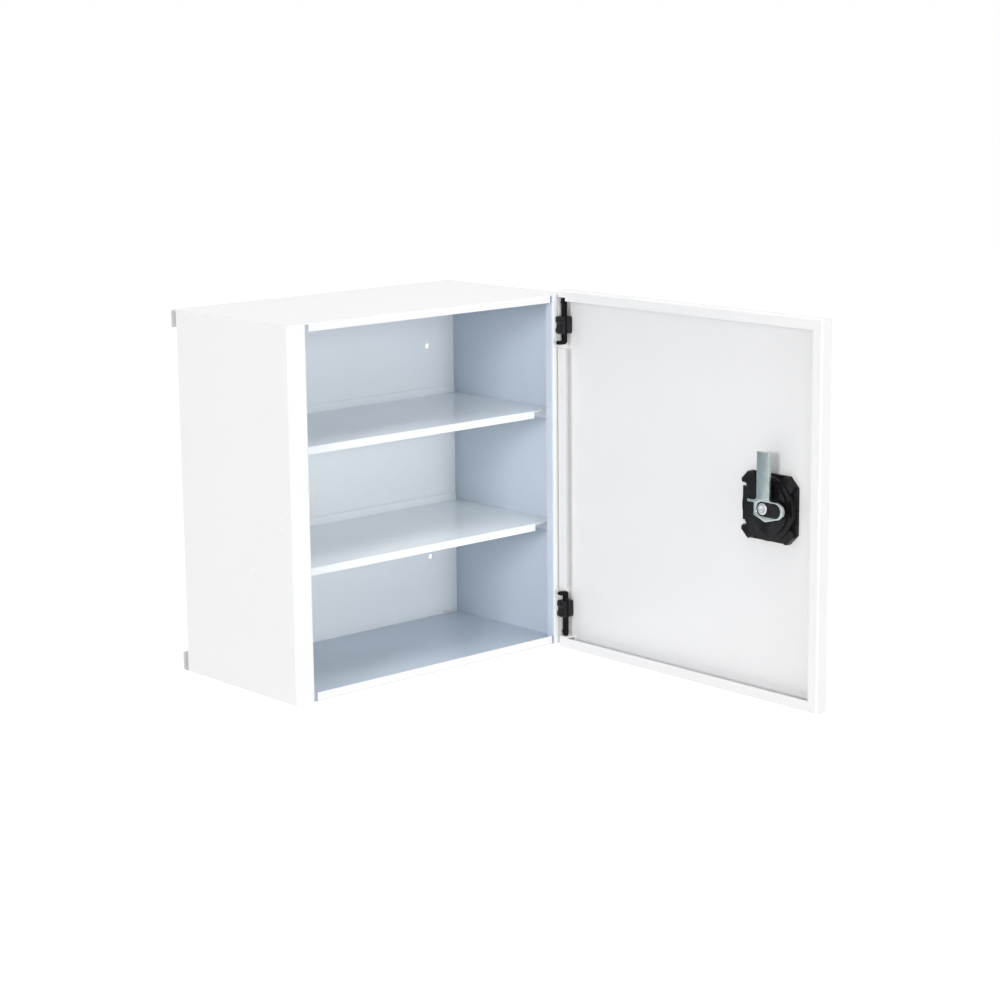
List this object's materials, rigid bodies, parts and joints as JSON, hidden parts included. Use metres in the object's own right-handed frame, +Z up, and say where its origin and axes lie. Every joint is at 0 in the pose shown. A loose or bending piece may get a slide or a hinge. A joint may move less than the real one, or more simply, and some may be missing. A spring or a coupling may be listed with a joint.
{
  "type": "lockable medicine cabinet",
  "caption": "Wall-hung cabinet of folded sheet steel with fixed shelves and a flush door that hangs on pull-out hinge pins and locks with a turning cam.",
  "frame": {"origin": "centre of the four wall holes, on the rear face of the back panel", "axes": "+Z up, -Y out of the cabinet's front, +X to the right of a person facing it"},
  "size_m": [0.4129, 0.5925, 0.4094],
  "materials": {
    "outer_paint": "white powder coat, satin gloss",
    "inner_paint": "pale blue-white paint, glossy",
    "hinge_plastic": "black moulded plastic, fine texture",
    "pin_black": "black coated steel",
    "lock_plastic": "black glass-filled plastic, satin",
    "cam_zinc": "bright zinc plating",
    "screw_steel": "zinc-plated screw",
    "core_chrome": "nickel-plated key core"
  },
  "bodies": {
    "cabinet": {"left_side": "outer_paint", "right_side": "outer_paint", "top_panel": "outer_paint", "bottom_panel": "outer_paint", "back_panel": "inner_paint", "upper_shelf": "inner_paint", "lower_shelf": "inner_paint", "upper_left_rail": "inner_paint", "upper_right_rail": "inner_paint", "lower_left_rail": "inner_paint", "lower_right_rail": "inner_paint", "upper_hinge_block": "hinge_plastic", "lower_hinge_block": "hinge_plastic", "hinge_block_screws": "screw_steel"},
    "door": {"door_pan": "outer_paint", "upper_eye_plate": "outer_paint", "lower_eye_plate": "outer_paint", "lock_housing": "lock_plastic", "lock_bezel": "lock_plastic"},
    "upper_pin": {"upper_hinge_pin": "pin_black"},
    "lower_pin": {"lower_hinge_pin": "pin_black"},
    "lock_rotor": {"lock_spindle": "cam_zinc", "turn_handle": "lock_plastic", "latch_cam": "cam_zinc", "cam_driver": "lock_plastic", "cam_screw": "screw_steel"},
    "key": {"key_core": "core_chrome"}
  },
  "joints": [
    {"name": "door_swing", "type": "hinge", "parent": "cabinet", "child": "door", "pos_m": [0.183, -0.204, 0], "axis": [0, 0, 1], "range_deg": [-90, 5]},
    {"name": "lock_turn", "type": "hinge", "parent": "door", "child": "lock_rotor", "pos_m": [0.193, -0.5119, 0.0034], "axis": [1, 0, 0], "range_deg": [0, 90]},
    {"name": "key_turn", "type": "hinge", "parent": "lock_rotor", "child": "key", "pos_m": [0.193, -0.5119, 0.0034], "axis": [1, 0, 0], "range_deg": [0, 90]},
    {"name": "upper_pin_pull", "type": "slide", "parent": "cabinet", "child": "upper_pin", "axis": [0, 0, -1], "range_m": [0, 0.004]},
    {"name": "lower_pin_pull", "type": "slide", "parent": "cabinet", "child": "lower_pin", "axis": [0, 0, 1], "range_m": [0, 0.004]}
  ]
}
